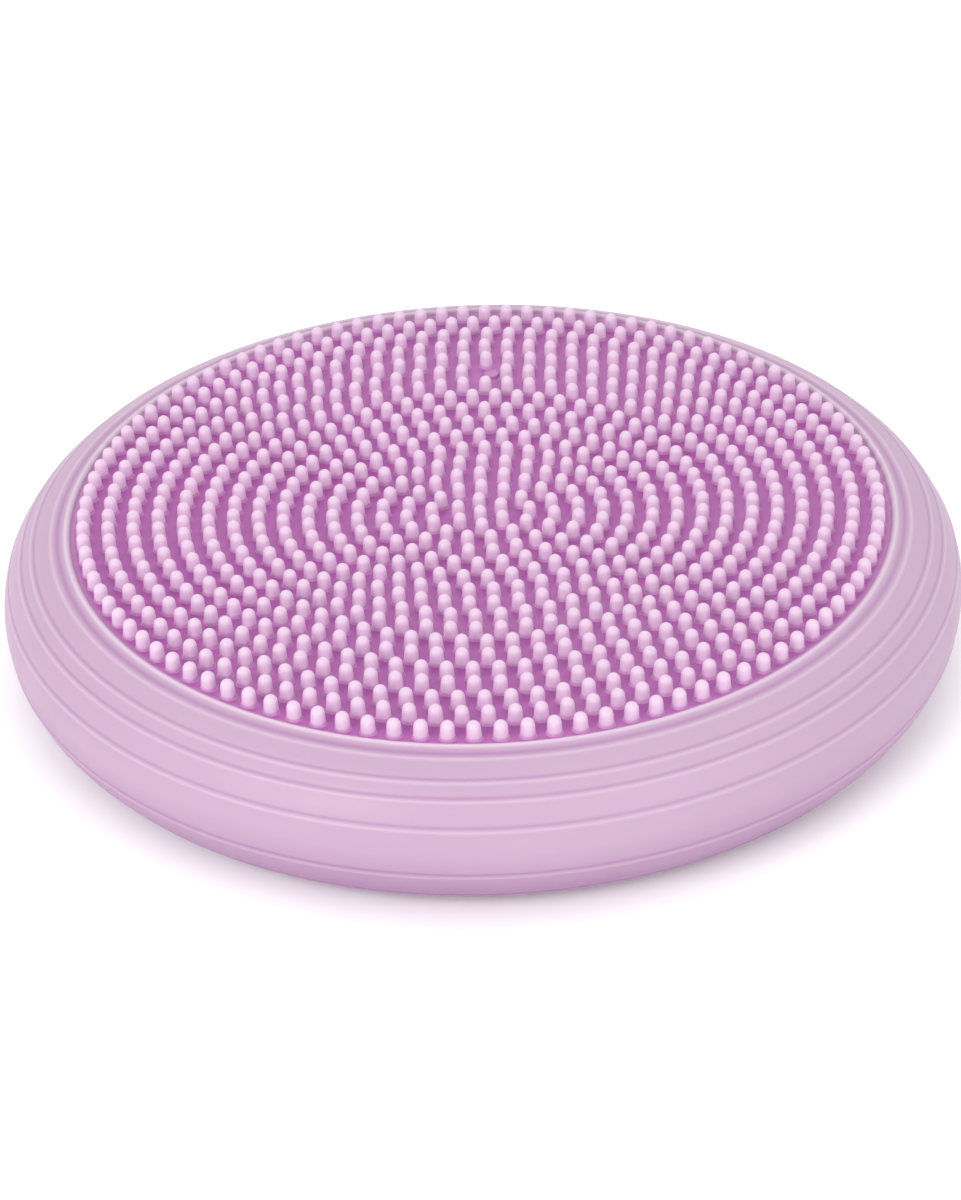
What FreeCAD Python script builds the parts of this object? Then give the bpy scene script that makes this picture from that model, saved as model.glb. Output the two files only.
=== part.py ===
"""Wobble cushion: an air-filled PVC disc with a dished face of massage nubs.

Units are millimetres. +Z is up, and the origin is at the centre of the foot ring, on the floor.
The moulded skin is a dished face above, a plain one below, and a half-round side wall between
them. It is split at the wall's moulded rings, where the soft skin bends.
"""
import FreeCAD, Part
import math
import os
from FreeCAD import Vector

# Overall size
OUTER_DIAMETER = 330.0
WALL = 3.0               # thickness of the moulded skin
TUBE_RADIUS = 26.5       # the side wall is a half-round of this outer radius
FOOT_FLAT = 0.5          # depth that the weight presses flat where the cushion stands
SEAM_GAP = 0.3           # slit left between zones that move apart

TUBE_CENTRE_R = OUTER_DIAMETER / 2 - TUBE_RADIUS
TUBE_CENTRE_Z = TUBE_RADIUS - FOOT_FLAT

# The half-round's moulded rings and the edges of its zones, as angles up from the widest line
FACE_RADIUS = 140.0      # where the dished face meets the rim
RIM_OUTER_ANGLE = 66.0
UPPER_BAND_ANGLES = (18.0, 27.0)
LOWER_BAND_ANGLES = (-20.0, -10.5)
RIM_RINGS = (83.5, 73.5)
WALL_RINGS = (55.5, 43.0)
UPPER_BAND_RING = 22.5
LOWER_BAND_RING = -15.0
RING_RADIUS = 0.6        # half the width of each moulded ring

# The dished face: a shallow bowl whose edge curves back towards level
FACE_CENTRE_Z = TUBE_CENTRE_Z + 18.5
BOWL_RADIUS = 970.0
BOWL_EDGE_R = 85.0
SHOULDER_RADIUS = 740.0

# Massage nubs
NUB_PITCH = 8.47         # from ring to ring, and close to it round each ring
NUB_RINGS = 16
NUBS_PER_RING_STEP = 6.5
FULLER_RINGS = (5, 7, 9, 15)     # rings with room for one more nub
NUB_START_ANGLE = 32.35          # degrees from +X, the line that the rings start on
RING_SHIFTS = {6: 0.18, 7: -0.20, 9: -0.38, 15: -0.25, 16: 0.15}    # in nub spacings
NUB_HEIGHT = 6.2
NUB_FOOT_RADIUS = 2.4
NUB_TIP_RADIUS = 2.2
NUB_ROOT = 0.4           # depth that a nub's foot runs into the sloping face

# Inflation valve, between the nubs
VALVE_R = 95.7
VALVE_ANGLE = 86.5
VALVE_NECK_RADIUS = 3.2
VALVE_FLANGE_RADIUS = 8.0
VALVE_FLANGE = 1.5
VALVE_BARREL_RADIUS = 5.5
VALVE_BARREL = 15.0
SOCKET_RADIUS = 2.0
SOCKET_DEPTH = 10.0
PLUG_HEAD_RADIUS = 3.0
PLUG_HEAD = 0.8
PLUG_STEM = 9.0
PLUG_CLEARANCE = 0.05
PLUG_EDGE = 0.5          # rounding of the plug's head
NUB_TO_PLUG = 0.3        # least room between a nub and the plug's head

AXIS = Vector(0, 0, 1)
ORIGIN = Vector(0, 0, 0)


def face_rise(radius):
    """Height of the dished face above its centre."""
    if radius <= BOWL_EDGE_R:
        return BOWL_RADIUS - math.sqrt(BOWL_RADIUS ** 2 - radius ** 2)
    slope = math.asin(BOWL_EDGE_R / BOWL_RADIUS)
    bowl_edge_rise = BOWL_RADIUS * (1 - math.cos(slope))
    shoulder_r = BOWL_EDGE_R + SHOULDER_RADIUS * math.sin(slope)
    shoulder_z = bowl_edge_rise - SHOULDER_RADIUS * math.cos(slope)
    return shoulder_z + math.sqrt(SHOULDER_RADIUS ** 2 - (radius - shoulder_r) ** 2)


def section_point(radius, height):
    return Vector(radius, 0, height)


def tube_point(angle, radius):
    """Point of the half-round's section, at an angle up from its widest line."""
    turn = math.radians(angle)
    return section_point(TUBE_CENTRE_R + radius * math.cos(turn), TUBE_CENTRE_Z + radius * math.sin(turn))


def tube_arc(start, end, radius):
    points = [tube_point(angle, radius) for angle in (start, (start + end) / 2, end)]
    return Part.Arc(*points).toShape()


def ringed_arc(start, end, rings):
    """Outer edge of the section from start down to end, with a moulded ring at each given angle."""
    half_ring = math.degrees(RING_RADIUS / TUBE_RADIUS)
    edges = []
    here = start
    for ring in rings:
        edges.append(tube_arc(here, ring + half_ring, TUBE_RADIUS))
        foot, far_foot = (tube_point(ring + side * half_ring, TUBE_RADIUS) for side in (1, -1))
        edges.append(Part.Arc(foot, tube_point(ring, TUBE_RADIUS + RING_RADIUS), far_foot).toShape())
        here = ring - half_ring
    edges.append(tube_arc(here, end, TUBE_RADIUS))
    return edges


def turned(edges):
    """Solid of revolution of a closed section."""
    return Part.Face(Part.Wire(edges)).revolve(ORIGIN, AXIS, 360)


def wall_band(start, end, rings=()):
    """One zone of the side wall, from the start angle down to the end angle."""
    edges = ringed_arc(start, end, rings)
    edges.append(Part.makeLine(tube_point(end, TUBE_RADIUS), tube_point(end, TUBE_RADIUS - WALL)))
    edges.append(tube_arc(end, start, TUBE_RADIUS - WALL))
    edges.append(Part.makeLine(tube_point(start, TUBE_RADIUS - WALL), tube_point(start, TUBE_RADIUS)))
    return turned(edges)


def rim_ring():
    """Turned-over shoulder between the dished face and the side wall, with its two rings."""
    crest = math.degrees(math.acos((FACE_RADIUS - TUBE_CENTRE_R) / TUBE_RADIUS))
    inner_start = RIM_RINGS[0]
    edge_foot = section_point(FACE_RADIUS, FACE_CENTRE_Z + face_rise(FACE_RADIUS) - WALL)
    edges = ringed_arc(crest, RIM_OUTER_ANGLE, RIM_RINGS)
    edges.append(Part.makeLine(tube_point(RIM_OUTER_ANGLE, TUBE_RADIUS),
                               tube_point(RIM_OUTER_ANGLE, TUBE_RADIUS - WALL)))
    edges.append(tube_arc(RIM_OUTER_ANGLE, inner_start, TUBE_RADIUS - WALL))
    edges.append(Part.makeLine(tube_point(inner_start, TUBE_RADIUS - WALL), edge_foot))
    edges.append(Part.makeLine(edge_foot, tube_point(crest, TUBE_RADIUS)))
    return turned(edges)


def face_arc(start, end, drop):
    """Arc of the dished face's section, drop below its upper surface."""
    radii = (start, (start + end) / 2, end)
    points = [section_point(r, FACE_CENTRE_Z + face_rise(r) - drop) for r in radii]
    return Part.Arc(*points).toShape()


def dished_face():
    """Shallow bowl-shaped panel without nubs."""
    centre, edge = (section_point(r, FACE_CENTRE_Z + face_rise(r)) for r in (0, FACE_RADIUS))
    drop = Vector(0, 0, -WALL)
    edges = [face_arc(0, BOWL_EDGE_R, 0), face_arc(BOWL_EDGE_R, FACE_RADIUS, 0)]
    edges.append(Part.makeLine(edge, edge + drop))
    edges += [face_arc(FACE_RADIUS, BOWL_EDGE_R, WALL), face_arc(BOWL_EDGE_R, 0, WALL)]
    edges.append(Part.makeLine(centre + drop, centre))
    return turned(edges)


def upside_down(shape):
    """The same shape on the cushion's lower side."""
    return shape.mirror(Vector(0, 0, TUBE_CENTRE_Z), AXIS)


def valve_place():
    """Centre of the valve's mouth, on the dished face."""
    turn = math.radians(VALVE_ANGLE)
    return Vector(VALVE_R * math.cos(turn), VALVE_R * math.sin(turn), FACE_CENTRE_Z + face_rise(VALVE_R))


def massage_panel():
    """Dished upper face, with a hole for the valve's neck."""
    hole = Part.makeCylinder(VALVE_NECK_RADIUS, 4 * WALL, valve_place() - Vector(0, 0, 2 * WALL))
    return dished_face().cut(hole)


def base_rim():
    """Lower shoulder, pressed flat where the cushion stands on the floor."""
    below_floor = Part.makeCylinder(OUTER_DIAMETER, FOOT_FLAT + WALL, Vector(0, 0, -FOOT_FLAT - WALL))
    return upside_down(rim_ring()).cut(below_floor)


def nub():
    """Tapered massage nub with a rounded tip, standing on the origin."""
    shoulder = section_point(NUB_TIP_RADIUS, NUB_HEIGHT - NUB_TIP_RADIUS)
    cheek_turn = math.radians(45)
    cheek = section_point(NUB_TIP_RADIUS * math.cos(cheek_turn),
                          NUB_HEIGHT - NUB_TIP_RADIUS + NUB_TIP_RADIUS * math.sin(cheek_turn))
    tip = section_point(0, NUB_HEIGHT)
    root = section_point(0, -NUB_ROOT)
    foot = section_point(NUB_FOOT_RADIUS, -NUB_ROOT)
    edges = [Part.makeLine(root, foot), Part.makeLine(foot, shoulder)]
    edges += [Part.Arc(shoulder, cheek, tip).toShape(), Part.makeLine(tip, root)]
    return turned(edges)


def nub_places():
    """Feet of all nubs: one at the centre and the rest in rings, with none under the plug's head."""
    places = [Vector(0, 0, FACE_CENTRE_Z)]
    clear = PLUG_HEAD_RADIUS + NUB_FOOT_RADIUS + NUB_TO_PLUG
    for ring in range(1, NUB_RINGS + 1):
        count = int(NUBS_PER_RING_STEP * ring) + (ring in FULLER_RINGS)
        radius = NUB_PITCH * ring
        for index in range(count):
            step = (index + RING_SHIFTS.get(ring, 0)) / count
            turn = math.radians(NUB_START_ANGLE + 360 * step)
            place = Vector(radius * math.cos(turn), radius * math.sin(turn), FACE_CENTRE_Z + face_rise(radius))
            if (place - valve_place()).Length > clear:
                places.append(place)
    return places


def massage_nubs():
    """Every nub, as one group of solids rooted in the massage panel."""
    pattern = nub()
    nubs = []
    for place in nub_places():
        copy = pattern.copy()
        copy.translate(place)
        nubs.append(copy)
    return Part.makeCompound(nubs)


def valve_body():
    """Rubber valve under the face: neck in the panel's hole, flange, barrel and blind plug socket."""
    mouth = valve_place()
    downhill_drop = face_rise(VALVE_R) - face_rise(VALVE_R - VALVE_FLANGE_RADIUS)
    neck = WALL + downhill_drop
    flange_top = mouth - Vector(0, 0, neck)
    body = Part.makeCylinder(VALVE_NECK_RADIUS, neck, flange_top)
    flange = Part.makeCylinder(VALVE_FLANGE_RADIUS, VALVE_FLANGE, flange_top - Vector(0, 0, VALVE_FLANGE))
    barrel = Part.makeCylinder(VALVE_BARREL_RADIUS, VALVE_BARREL, flange_top - Vector(0, 0, VALVE_BARREL))
    socket = Part.makeCylinder(SOCKET_RADIUS, SOCKET_DEPTH + 1, mouth - Vector(0, 0, SOCKET_DEPTH))
    return body.fuse(flange).fuse(barrel).cut(socket).removeSplitter()


def valve_plug():
    """Push-in plug: a low rounded head on a stem that fills the valve's socket."""
    mouth = valve_place()
    head = Part.makeCylinder(PLUG_HEAD_RADIUS, PLUG_HEAD, mouth)
    upper_edge = [edge for edge in head.Edges if edge.CenterOfMass.z > mouth.z + PLUG_HEAD * 0.9]
    head = head.makeFillet(PLUG_EDGE, [edge for edge in upper_edge if edge.Closed])
    stem = Part.makeCylinder(SOCKET_RADIUS - PLUG_CLEARANCE, PLUG_STEM, mouth - Vector(0, 0, PLUG_STEM))
    return head.fuse(stem).removeSplitter()


def build():
    """Every sub-part by node name."""
    gap = math.degrees(SEAM_GAP / TUBE_RADIUS)
    upper_low, upper_high = UPPER_BAND_ANGLES
    lower_low, lower_high = LOWER_BAND_ANGLES
    lower_rings = [-ring for ring in reversed(WALL_RINGS)]
    return {
        "base_panel": upside_down(dished_face()),
        "base_rim": base_rim(),
        "lower_wall": wall_band(lower_low - gap, -RIM_OUTER_ANGLE, lower_rings),
        "lower_ring_band": wall_band(lower_high, lower_low, [LOWER_BAND_RING]),
        "equator_wall": wall_band(upper_low - gap, lower_high),
        "upper_ring_band": wall_band(upper_high, upper_low, [UPPER_BAND_RING]),
        "upper_wall": wall_band(RIM_OUTER_ANGLE - gap, upper_high, WALL_RINGS),
        "top_rim": rim_ring(),
        "massage_panel": massage_panel(),
        "massage_nubs": massage_nubs(),
        "valve_body": valve_body(),
        "valve_plug": valve_plug(),
    }


def main():
    os.makedirs("parts", exist_ok=True)
    for node, shape in build().items():
        box = shape.BoundBox
        print(f"{node:16s} solids {len(shape.Solids):4d} valid {shape.isValid()} "
              f"volume {shape.Volume:10.1f} z {box.ZMin:6.2f} to {box.ZMax:6.2f}")
        shape.exportStep(f"parts/{node}.step")


main()
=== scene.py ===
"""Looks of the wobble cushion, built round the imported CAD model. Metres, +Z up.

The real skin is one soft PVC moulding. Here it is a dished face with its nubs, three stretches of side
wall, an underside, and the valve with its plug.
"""
import math
import random

import bpy
from mathutils import Matrix, Vector


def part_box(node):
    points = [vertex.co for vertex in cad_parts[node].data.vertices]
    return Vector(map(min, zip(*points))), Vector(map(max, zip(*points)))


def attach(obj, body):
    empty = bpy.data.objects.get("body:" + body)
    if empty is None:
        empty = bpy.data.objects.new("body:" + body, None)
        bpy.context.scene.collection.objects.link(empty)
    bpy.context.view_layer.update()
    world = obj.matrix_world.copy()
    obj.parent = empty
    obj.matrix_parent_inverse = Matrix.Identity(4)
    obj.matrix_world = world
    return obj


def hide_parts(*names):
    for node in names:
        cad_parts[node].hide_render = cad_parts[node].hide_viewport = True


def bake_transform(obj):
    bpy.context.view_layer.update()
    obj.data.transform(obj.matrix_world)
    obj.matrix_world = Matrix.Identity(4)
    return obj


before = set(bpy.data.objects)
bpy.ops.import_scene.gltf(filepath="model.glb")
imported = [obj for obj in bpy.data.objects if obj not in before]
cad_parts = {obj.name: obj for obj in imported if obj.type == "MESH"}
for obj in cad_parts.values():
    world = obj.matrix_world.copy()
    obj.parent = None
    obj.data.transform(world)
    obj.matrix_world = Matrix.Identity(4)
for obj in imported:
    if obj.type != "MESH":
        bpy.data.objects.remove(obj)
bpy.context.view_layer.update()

MM = 0.001

# Side wall: a half-round tube whose widest line is the cushion's outer radius
WALL = 3.0 * MM
TUBE_RADIUS = 26.5 * MM
OUTER_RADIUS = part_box("equator_wall")[1].x
TUBE_CENTRE_R = OUTER_RADIUS - TUBE_RADIUS
TUBE_CENTRE_Z = 26.0 * MM
FACE_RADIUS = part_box("massage_panel")[1].x
RIM_CREST = math.degrees(math.acos((FACE_RADIUS - TUBE_CENTRE_R) / TUBE_RADIUS))
LOWER_SEAM = -20.0          # angles up from the widest line where the visible stretches meet
UPPER_SEAM = 18.0
ANGLE_STEP = 0.5            # degrees between points of the outer surface
INNER_STEP = 3.0            # and of the inner one
UNDER_START = 5.0           # below this angle the wall turns under, into deeper painted shade
UNDER_SPAN = 50.0           # degrees over which that painted shade deepens
UNDER_DEPTH = 1.9           # how far the painted shade deepens, as against 1 in a ring's groove
TURNS = 256                 # steps round the axis
LIP = 0.7 * MM              # rounding of the rim where the dished face meets it
SHARP = math.radians(50)    # edges turned further than this aren't shaded smooth
ON_AXIS = 1e-9              # a smaller radius counts as none

# Moulded rings of the side wall, by angle. A rim line has its angle, how far it stands out, and its width
LINE_RISE = 0.20 * MM
LINE_WIDTH = 0.52 * MM
LINE_SPREAD = 1.5           # degrees from a ring's middle up to its groove and down to its bead
WALL_RINGS = (55.7, 43.2, 23.3, -13.0, -43.2, -55.7)
RIM_LINES = (
    (83.4, 0.65 * MM, 0.75 * MM),
    (76.8, -0.30 * MM, 1.10 * MM),
    (71.8, 0.22 * MM, 0.60 * MM),
)

# The dished face
FACE_CENTRE_Z = 44.5 * MM
BOWL_RADIUS = 970.0 * MM
BOWL_EDGE_R = 85.0 * MM
SHOULDER_RADIUS = 740.0 * MM
COVE_START = 137.6 * MM     # where the face starts to curve up to the rim
COVE_RISE = 0.9 * MM
FACE_STEP = 3.0 * MM        # radius between points of the face
COVE_STEP = 0.25 * MM       # and of its cove

# Massage nubs. Ring n has 6.5 n of them, rounded down, and the fuller rings have one more. A ring's shift
# is the share of its own spacing that it is turned by
NUB_PITCH = 8.47 * MM
NUB_RINGS = 16
NUBS_PER_RING_STEP = 6.5
FULLER_RINGS = (5, 7, 9, 15)
NUB_START_ANGLE = 32.35
RING_SHIFTS = {6: 0.18, 7: -0.20, 9: -0.38, 15: -0.25, 16: 0.15}
NUB_HEIGHT = 6.2 * MM
NUB_FOOT_RADIUS = 2.4 * MM
NUB_TIP_RADIUS = 2.2 * MM
NUB_FILLET = 0.5 * MM
NUB_ROOT = 0.4 * MM
NUB_TURNS = 20
NUB_SHADE = 1.3 * MM        # height of the deeper painted shade round a nub's foot
NUB_STRETCH = 0.02          # largest difference in height, as a share of it
NUB_LEAN = 0.025            # largest lean along X or Y, as a slope
NUB_SEED = 7

# Valve, whose plug has room round its head
PLUG_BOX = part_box("valve_plug")
PLUG_AXIS = (PLUG_BOX[0] + PLUG_BOX[1]) / 2
PLUG_HEAD_RADIUS = (PLUG_BOX[1].x - PLUG_BOX[0].x) / 2
PLUG_STEM_RADIUS = 1.95 * MM
PLUG_HEAD = 0.8 * MM
PLUG_EDGE = 0.5 * MM
PLUG_TURNS = 32
PLUG_ROOM = PLUG_HEAD_RADIUS + NUB_FOOT_RADIUS + 0.3 * MM


def face_rise(radius):
    """Height of the dished face above its centre."""
    if radius <= BOWL_EDGE_R:
        return BOWL_RADIUS - math.sqrt(BOWL_RADIUS ** 2 - radius ** 2)
    slope = math.asin(BOWL_EDGE_R / BOWL_RADIUS)
    shoulder_r = BOWL_EDGE_R + SHOULDER_RADIUS * math.sin(slope)
    shoulder_z = BOWL_RADIUS * (1 - math.cos(slope)) - SHOULDER_RADIUS * math.cos(slope)
    return shoulder_z + math.sqrt(SHOULDER_RADIUS ** 2 - (radius - shoulder_r) ** 2)


def bump(distance, width):
    """Smooth swell: 1 in its middle, and falling away on both sides."""
    return math.exp(-(distance / width) ** 2)


def ring_relief(angle):
    """How far the moulded rings stand out of the plain half-round, or sink into it, at an angle."""
    lines = list(RIM_LINES) + [(-ring, rise, width) for ring, rise, width in RIM_LINES]
    for ring in WALL_RINGS:
        lines.append((ring + LINE_SPREAD, -LINE_RISE, LINE_WIDTH))
        lines.append((ring - LINE_SPREAD, LINE_RISE, LINE_WIDTH))
    return sum(rise * bump(math.radians(line - angle) * TUBE_RADIUS, width)
               for line, rise, width in lines)


def tube_point(angle, radius):
    """Point of the side wall's section at an angle, as its distance from the axis and its height."""
    turn = math.radians(angle)
    return (TUBE_CENTRE_R + radius * math.cos(turn), TUBE_CENTRE_Z + radius * math.sin(turn))


def span(start, end, step):
    """Even values from start to end, about a step apart."""
    count = max(1, round(abs(end - start) / step))
    return [start + (end - start) * i / count for i in range(count + 1)]


def finish_mesh(name, vertices, faces, material, painted_shading=None):
    """One piece from its vertices and faces. A closed skin is turned so that its faces look outwards."""
    mesh = bpy.data.meshes.new(name)
    mesh.from_pydata(vertices, [], faces)
    mesh.validate()
    if sum(face.area * face.center.dot(face.normal) for face in mesh.polygons) < 0:
        mesh.flip_normals()
    # Values of painted shading for the material: below 0 painted shade, above 0 the lighter colour
    if painted_shading is not None:
        attribute = mesh.attributes.new("painted_shading", "FLOAT", "POINT")
        attribute.data.foreach_set("value", painted_shading)
    mesh.shade_smooth()
    mesh.set_sharp_from_angle(angle=SHARP)
    mesh.materials.append(material)
    piece = bpy.data.objects.new(name, mesh)
    bpy.context.scene.collection.objects.link(piece)
    return piece


def point_count(radius, turns):
    """How many vertices a point of a section makes: one on the axis, and otherwise one for each turn."""
    return 1 if radius < ON_AXIS else turns


def lathe_geometry(section, turns, centre=(0.0, 0.0), lift=None):
    """Vertices and faces of a section turned about an upright axis. A section point is (radius, height),
    and one with no radius is a single vertex. lift gives a vertex's added height from x, y and height."""
    vertices, rows, faces = [], [], []
    for radius, height in section:
        count = point_count(radius, turns)
        rows.append((len(vertices), count))
        for i in range(count):
            turn = 2 * math.pi * i / turns
            x, y = centre[0] + radius * math.cos(turn), centre[1] + radius * math.sin(turn)
            vertices.append((x, y, height + (lift(x, y, height) if lift else 0.0)))
    for (a, a_count), (b, b_count) in zip(rows, rows[1:]):
        for i in range(turns):
            j = (i + 1) % turns
            corners = [a + i % a_count, a + j % a_count, b + j % b_count, b + i % b_count]
            faces.append(list(dict.fromkeys(corners)))
    return vertices, faces


def spread_round(section, values, turns):
    """One value for each vertex that lathe_geometry makes, from one for each point of the section."""
    spread = []
    for (radius, _), value in zip(section, values):
        spread += [value] * point_count(radius, turns)
    return spread


def lathe(name, section, material, tone=None):
    """Closed skin turned from a closed section, with a value of painted shade or highlight
    for each point of it.
    """
    vertices, faces = lathe_geometry(section, TURNS)
    painted_shading = None if tone is None else spread_round(section, tone, TURNS)
    return finish_mesh(name, vertices, faces, material, painted_shading)


# Materials

CLOUD_SCALE = 9.0           # broad, faint clouds of tone
CLOUD_BAND = (0.35, 0.65)   # noise values between which they come in
CLOUD_SHARE = 0.12
GLOSS_SCALE = 60.0          # patches that are a little smoother or rougher
GLOSS_BAND = (0.3, 0.7)
GLOSS_RANGE = (-0.04, 0.05)
GRAIN_SCALE = 900.0         # fine grain of the moulded surface
GRAIN_STRENGTH = 0.12
GRAIN_DEPTH = 0.2 * MM
SOFT_SPECULAR = 0.35
SOFT_SUBSURFACE = 0.12
SOFT_SCATTER = (3.0 * MM, 1.4 * MM, 2.5 * MM)
WALL_ROUGHNESS = 0.46
NUB_ROUGHNESS = 0.42
MATT_ROUGHNESS = 0.5


class Shader:
    """Small helper that makes and links shader nodes."""

    def __init__(self, name):
        self.material = bpy.data.materials.new(name)
        self.material.use_nodes = True
        self.tree = self.material.node_tree
        self.surface = self.tree.nodes["Principled BSDF"]

    def node(self, kind, inputs=None, **settings):
        made = self.tree.nodes.new(kind)
        for key, value in settings.items():
            setattr(made, key, value)
        for key, value in (inputs or {}).items():
            self.put(made.inputs[key], value)
        return made

    def put(self, socket, value):
        if isinstance(value, bpy.types.NodeSocket):
            self.tree.links.new(value, socket)
        else:
            socket.default_value = value

    def mix(self, factor, low, high):
        """Mix of two colours. A mix node's sockets for colours have these places among its sockets."""
        made = self.node("ShaderNodeMix", data_type="RGBA")
        for index, value in ((0, factor), (6, low), (7, high)):
            self.put(made.inputs[index], value)
        return made.outputs[2]

    def noise(self, scale, detail=3.0):
        place = self.node("ShaderNodeTexCoord").outputs["Object"]
        made = self.node("ShaderNodeTexNoise", {"Vector": place, "Scale": scale, "Detail": detail})
        return made.outputs["Fac"]

    def remap(self, value, low, high, new_low, new_high):
        made = self.node("ShaderNodeMapRange", {"Value": value, "From Min": low, "From Max": high,
                                                "To Min": new_low, "To Max": new_high})
        return made.outputs["Result"]


def soft_pvc(name, plain, painted_shade, crest, painted_shading_range, roughness):
    """Satin soft PVC with painted light from the mesh: a painted shade colour in grooves and gaps,
    another on crests and tips (painted highlight on wall beads, duller painted nub tips, lighter cove),
    and faint clouds of the crests' colour. The range gives the values of the mesh's painted shading at
    which the two are reached."""
    shader = Shader(name)
    # Painted shading stored on the mesh: below 0 it mixes in the painted shade, above 0 the lighter colour
    painted_shading = shader.node("ShaderNodeAttribute", attribute_name="painted_shading").outputs["Fac"]
    low, high = painted_shading_range
    to_crest = shader.remap(painted_shading, 0.0, high, 0.0, 1.0)
    to_painted_shade = shader.remap(painted_shading, 0.0, low, 0.0, 1.0)
    cloud = shader.remap(shader.noise(CLOUD_SCALE), *CLOUD_BAND, 0.0, CLOUD_SHARE)
    colour = shader.mix(to_painted_shade, plain, painted_shade)
    colour = shader.mix(to_crest, colour, crest)
    colour = shader.mix(cloud, colour, crest)
    shader.put(shader.surface.inputs["Base Color"], colour)
    smoother, rougher = (roughness + change for change in GLOSS_RANGE)
    gloss = shader.remap(shader.noise(GLOSS_SCALE), *GLOSS_BAND, smoother, rougher)
    shader.put(shader.surface.inputs["Roughness"], gloss)
    grain = shader.node("ShaderNodeBump", {"Height": shader.noise(GRAIN_SCALE, detail=2.0),
                                           "Strength": GRAIN_STRENGTH, "Distance": GRAIN_DEPTH})
    shader.put(shader.surface.inputs["Normal"], grain.outputs["Normal"])
    shader.surface.inputs["Specular IOR Level"].default_value = SOFT_SPECULAR
    shader.surface.inputs["Subsurface Weight"].default_value = SOFT_SUBSURFACE
    shader.surface.inputs["Subsurface Radius"].default_value = SOFT_SCATTER
    shader.surface.inputs["Subsurface Scale"].default_value = 1.0
    return shader.material


WALL_PLAIN = (0.400, 0.268, 0.380, 1.0)
# Painted shade of the wall, in the grooves of its rings and where it turns under towards the floor
WALL_PAINTED_SHADE = (0.300, 0.140, 0.295, 1.0)
# Painted highlight on the beads of the wall's rings; it also tints the faint clouds
WALL_PALE = (0.515, 0.390, 0.495, 1.0)
# Painted shade over the face between the nubs
FIELD_PAINTED_SHADE = (0.345, 0.082, 0.318, 1.0)
# Painted shade round the nubs' feet
NUB_FOOT_PAINTED_SHADE = (0.450, 0.155, 0.415, 1.0)
# The nubs' own colour, painted lighter than the wall's so that their sides look as lit as the tips
NUB_PLAIN_PAINTED_LIGHTER = (0.710, 0.500, 0.680, 1.0)
NUB_TIP = (0.575, 0.435, 0.555, 1.0)        # painted duller than the sides, to tone down the light the tips catch
# The cove painted lighter, where the painted shade eases off towards the rim; it also tints the face's
# clouds
COVE_TONE = (0.460, 0.240, 0.430, 1.0)
VALVE_TONE = (0.380, 0.140, 0.350, 1.0)
skin = soft_pvc("skin_soft_pvc", WALL_PLAIN, WALL_PAINTED_SHADE, WALL_PALE, (-2.0, 2.0), WALL_ROUGHNESS)
face = soft_pvc("face_soft_pvc", FIELD_PAINTED_SHADE, FIELD_PAINTED_SHADE, COVE_TONE, (-1.0, 1.0), MATT_ROUGHNESS)
nub_skin = soft_pvc("nub_soft_pvc", NUB_PLAIN_PAINTED_LIGHTER, NUB_FOOT_PAINTED_SHADE, NUB_TIP, (-1.0, 1.0), NUB_ROUGHNESS)
valve_skin = soft_pvc("valve_soft_rubber", VALVE_TONE, WALL_PAINTED_SHADE, WALL_PALE, (-1.0, 1.0), MATT_ROUGHNESS)


# Skin


def lip_drop(angle):
    """How far the rim's rounded lip falls away, close to the dished face."""
    from_lip = math.radians(RIM_CREST - abs(angle)) * TUBE_RADIUS
    return LIP - math.sqrt(LIP ** 2 - max(0.0, LIP - from_lip) ** 2)


def wall_tone(angle):
    """Painted shading of the wall at an angle: painted shade in the rings' grooves, a painted highlight on
    their beads, and deeper painted shade where the wall turns under.
    """
    turned_under = min(1.0, max(0.0, (UNDER_START - angle) / UNDER_SPAN))
    return ring_relief(angle) / LINE_RISE - UNDER_DEPTH * turned_under


def wall_section(start, end):
    """Closed section of a stretch of wall from the start angle down to the end angle, and its painted
    shading.
    """
    outer = span(start, end, ANGLE_STEP)
    section = [tube_point(angle, TUBE_RADIUS + ring_relief(angle) - lip_drop(angle)) for angle in outer]
    inner = span(end, start, INNER_STEP)
    section += [tube_point(angle, TUBE_RADIUS - WALL) for angle in inner]
    section.append(section[0])
    section = [(radius, max(0.0, height)) for radius, height in section]
    return section, [wall_tone(angle) for angle in outer + inner + [start]]


def wall(name, start, end, low_body, high_body, blend_from, blend_to, *nodes):
    """A stretch of side wall, turned in place of the CAD parts that it hides."""
    section, tone = wall_section(start, end)
    piece = lathe(name, section, skin, tone)
    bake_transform(piece)
    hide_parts(*nodes)
    return piece


def top_of(node):
    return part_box(node)[1].z


def foot_of(node):
    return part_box(node)[0].z


wall("upper_skin", RIM_CREST, UPPER_SEAM, "upper_band", "top", top_of("upper_ring_band"), foot_of("top_rim"),
     "upper_ring_band", "upper_wall", "top_rim")
wall("middle_skin", UPPER_SEAM, LOWER_SEAM, "lower_band", "upper_band", top_of("lower_ring_band"),
     top_of("equator_wall"), "lower_ring_band", "equator_wall")
wall("lower_skin", LOWER_SEAM, -RIM_CREST, "base", "lower_band", top_of("base_rim"), top_of("lower_wall"),
     "lower_wall", "base_rim")


def cove_share(radius):
    """How far a radius lies across the cove between the dished face and the rim, from 0 to 1."""
    return min(1.0, max(0.0, (radius - COVE_START) / (FACE_RADIUS - COVE_START)))


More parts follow.
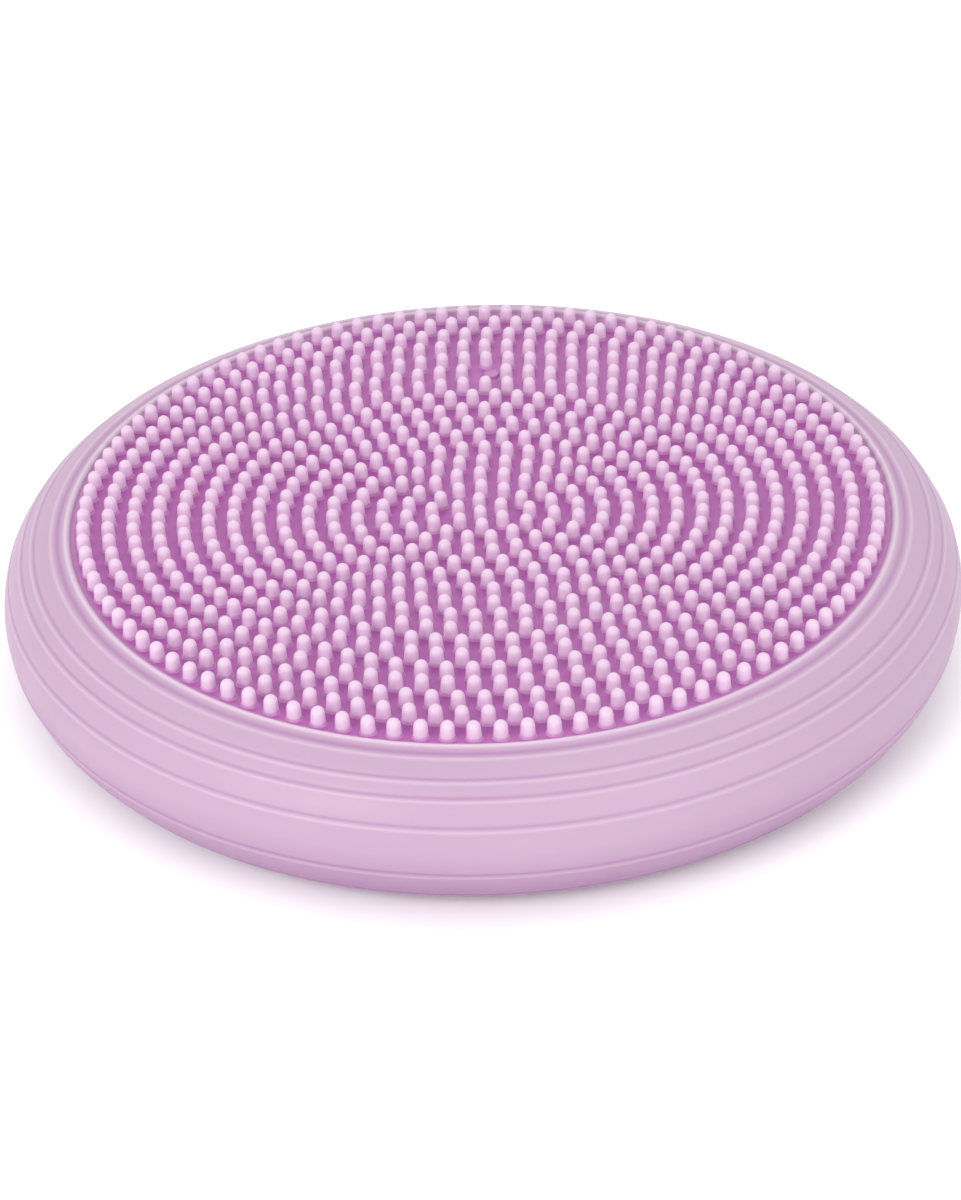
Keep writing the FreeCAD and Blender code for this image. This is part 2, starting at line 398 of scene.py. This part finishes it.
def face_section(underside):
    """Closed section of the dished face, or of the underside, which mirrors it, and its painted shading:
    the face's painted shade eases off across the cove up to the rim.
    """
    radii = span(0.0, COVE_START, FACE_STEP) + span(COVE_START, FACE_RADIUS, COVE_STEP)[1:]
    upper = []
    for radius in radii:
        cove = COVE_RISE * (1 - math.sqrt(1 - cove_share(radius) ** 2))
        upper.append((radius, FACE_CENTRE_Z + face_rise(radius) + cove))
    lower = [(radius, FACE_CENTRE_Z + face_rise(radius) - WALL) for radius in reversed(radii)]
    section = upper + lower
    if underside:
        section = [(radius, 2 * TUBE_CENTRE_Z - height) for radius, height in section]
    return section, [cove_share(radius) for radius, _ in section]


face_shape, face_tone = face_section(underside=False)
massage_face = lathe("massage_face", face_shape, face, face_tone)
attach(massage_face, "top")
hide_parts("massage_panel")

underside_shape, _ = face_section(underside=True)
underside = lathe("underside", underside_shape, skin)
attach(underside, "base")
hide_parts("base_panel")


# Nubs


def nub_section():
    """Section of one nub from its buried root, up over the fillet at its foot, to its round tip."""
    root_radius = NUB_FOOT_RADIUS + NUB_FILLET
    section = [(0.0, -NUB_ROOT), (root_radius, -NUB_ROOT), (root_radius, 0.0)]
    for turn in (30, 60, 90):
        angle = math.radians(turn)
        section.append((NUB_FOOT_RADIUS + NUB_FILLET * (1 - math.sin(angle)),
                        NUB_FILLET * (1 - math.cos(angle))))
    shoulder = NUB_HEIGHT - NUB_TIP_RADIUS
    for share in (0.25, 0.5, 0.75):
        section.append((NUB_FOOT_RADIUS + (NUB_TIP_RADIUS - NUB_FOOT_RADIUS) * share,
                        NUB_FILLET + (shoulder - NUB_FILLET) * share))
    for turn in (0, 20, 40, 60, 76, 90):
        angle = math.radians(turn)
        section.append((NUB_TIP_RADIUS * math.cos(angle), shoulder + NUB_TIP_RADIUS * math.sin(angle)))
    return section


def nub_tone(height):
    """Painted shading of a nub at a height: -1 at its foot, in painted shade, 0 where the plain colour
    starts, and 1 at its tip, painted duller.
    """
    if height < NUB_SHADE:
        return max(0.0, height) / NUB_SHADE - 1
    return (height - NUB_SHADE) / (NUB_HEIGHT - NUB_SHADE)


def nub_places():
    """Feet of all nubs: one at the centre and the rest in rings, with none under the plug's head."""
    places = [(0.0, 0.0)]
    for ring in range(1, NUB_RINGS + 1):
        count = int(NUBS_PER_RING_STEP * ring) + (ring in FULLER_RINGS)
        for index in range(count):
            turn = math.radians(NUB_START_ANGLE + 360 * (index + RING_SHIFTS.get(ring, 0)) / count)
            x, y = NUB_PITCH * ring * math.cos(turn), NUB_PITCH * ring * math.sin(turn)
            if math.hypot(x - PLUG_AXIS.x, y - PLUG_AXIS.y) > PLUG_ROOM:
                places.append((x, y))
    return places


def nub_geometry(section, x, y, chance):
    """Vertices and faces of one nub, with its own small lean and difference in height. Its foot follows
    the slope of the face."""
    stretch = 1 + chance.uniform(-NUB_STRETCH, NUB_STRETCH)
    lean_x = chance.uniform(-NUB_LEAN, NUB_LEAN)
    lean_y = chance.uniform(-NUB_LEAN, NUB_LEAN)
    middle = face_rise(math.hypot(x, y))

    def lift(px, py, height):
        foot_share = max(0.0, 1 - max(0.0, height) / (2 * NUB_FILLET))
        return FACE_CENTRE_Z + middle + (face_rise(math.hypot(px, py)) - middle) * foot_share

    upright, faces = lathe_geometry(section, NUB_TURNS, (x, y), lift)
    vertices = []
    for px, py, pz in upright:
        above = max(0.0, pz - FACE_CENTRE_Z - middle)
        vertices.append((px + lean_x * above, py + lean_y * above, pz + (stretch - 1) * above))
    return vertices, faces


def make_nubs():
    """All nubs as one mesh."""
    chance = random.Random(NUB_SEED)
    section = nub_section()
    tone = spread_round(section, [nub_tone(height) for _, height in section], NUB_TURNS)
    vertices, faces, painted_shading = [], [], []
    for x, y in nub_places():
        first = len(vertices)
        nub_vertices, nub_faces = nub_geometry(section, x, y, chance)
        vertices += nub_vertices
        faces += [[first + corner for corner in quad] for quad in nub_faces]
        painted_shading += tone
    return finish_mesh("massage_nubs_soft", vertices, faces, nub_skin, painted_shading)


nubs = make_nubs()
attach(nubs, "top")
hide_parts("massage_nubs")

# Valve

valve_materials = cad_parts["valve_body"].data.materials
valve_materials.clear()
valve_materials.append(valve_skin)


def plug_section():
    """Flat head with a rounded edge, on a stem with a shallow groove near its chamfered end."""
    head_top = PLUG_BOX[1].z
    head_foot = head_top - PLUG_HEAD
    stem_end = PLUG_BOX[0].z
    section = [(0.0, head_top)]
    for turn in (90, 60, 30, 0):
        angle = math.radians(turn)
        section.append((PLUG_HEAD_RADIUS - PLUG_EDGE + PLUG_EDGE * math.cos(angle),
                        head_top - PLUG_EDGE + PLUG_EDGE * math.sin(angle)))
    section += [
        (PLUG_HEAD_RADIUS, head_foot),
        (PLUG_STEM_RADIUS, head_foot),
        (PLUG_STEM_RADIUS, stem_end + 3 * PLUG_EDGE),
        (PLUG_STEM_RADIUS - PLUG_EDGE / 3, stem_end + 2 * PLUG_EDGE),
        (PLUG_STEM_RADIUS, stem_end + PLUG_EDGE),
        (PLUG_STEM_RADIUS - PLUG_EDGE, stem_end),
        (0.0, stem_end),
    ]
    return section


plug_vertices, plug_faces = lathe_geometry(plug_section(), PLUG_TURNS, (PLUG_AXIS.x, PLUG_AXIS.y))
plug = finish_mesh("push_in_plug", plug_vertices, plug_faces, valve_skin)
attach(plug, "plug")
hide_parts("valve_plug")

# Stage, light and camera

FLOOR_HALF = 3.0
FLOOR_TONE = (0.93, 0.93, 0.93, 1.0)
WORLD_STRENGTH = 1.12
LIGHT_TARGET = (0.0, 0.0, 0.03)
CAMERA_DISTANCE = 0.9864    # from the nub tips over the middle, towards the front
CAMERA_ELEVATION = math.radians(31.49)
CAMERA_AIM = (-0.001, 0.0180, 0.0)
CAMERA_TIP = math.radians(-1.94)
CAMERA_LENS = 86.14


def make_floor():
    shader = Shader("white_floor")
    shader.surface.inputs["Base Color"].default_value = FLOOR_TONE
    shader.surface.inputs["Roughness"].default_value = 0.8
    corners = [(x * FLOOR_HALF, y * FLOOR_HALF, 0) for x, y in ((-1, -1), (1, -1), (1, 1), (-1, 1))]
    floor = finish_mesh("floor", corners, [[0, 1, 2, 3]], shader.material)


def make_light(name, place, size, power):
    """Round soft light that shines at the cushion."""
    light = bpy.data.lights.new(name, "AREA")
    light.shape = "DISK"
    light.size = size
    light.energy = power
    lamp = bpy.data.objects.new(name, light)
    lamp.location = place
    lamp.rotation_mode = "QUATERNION"
    lamp.rotation_quaternion = (Vector(LIGHT_TARGET) - Vector(place)).to_track_quat("-Z", "Y")
    bpy.context.scene.collection.objects.link(lamp)


def make_world():
    """Even white surroundings."""
    world = bpy.data.worlds.new("soft_white")
    world.use_nodes = True
    background = world.node_tree.nodes["Background"]
    background.inputs["Color"].default_value = (1.0, 1.0, 1.0, 1.0)
    background.inputs["Strength"].default_value = WORLD_STRENGTH
    bpy.context.scene.world = world


def make_camera():
    """Camera in front and above, aimed at the floor under the cushion and tipped a little to one side."""
    away = CAMERA_DISTANCE * math.cos(CAMERA_ELEVATION)
    above = CAMERA_DISTANCE * math.sin(CAMERA_ELEVATION)
    look_from = Vector((0, -away, FACE_CENTRE_Z + NUB_HEIGHT + above))
    camera = bpy.data.cameras.new("camera")
    camera.lens = CAMERA_LENS
    camera.sensor_width = 36.0
    camera.clip_start = 0.05
    seat = bpy.data.objects.new("camera", camera)
    level = (Vector(CAMERA_AIM) - look_from).to_track_quat("-Z", "Y").to_matrix()
    tipped = level @ Matrix.Rotation(CAMERA_TIP, 3, "Z")
    seat.matrix_world = Matrix.Translation(look_from) @ tipped.to_4x4()
    bpy.context.scene.collection.objects.link(seat)
    bpy.context.scene.camera = seat


make_floor()
make_world()
make_light("key", (-0.9, -1.1, 0.9), size=0.9, power=12)
make_light("fill", (0.9, -1.0, 0.7), size=1.0, power=5)
make_light("back", (0.1, 1.3, 1.2), size=1.2, power=5)
make_camera()
bpy.context.scene.view_settings.view_transform = "Standard"
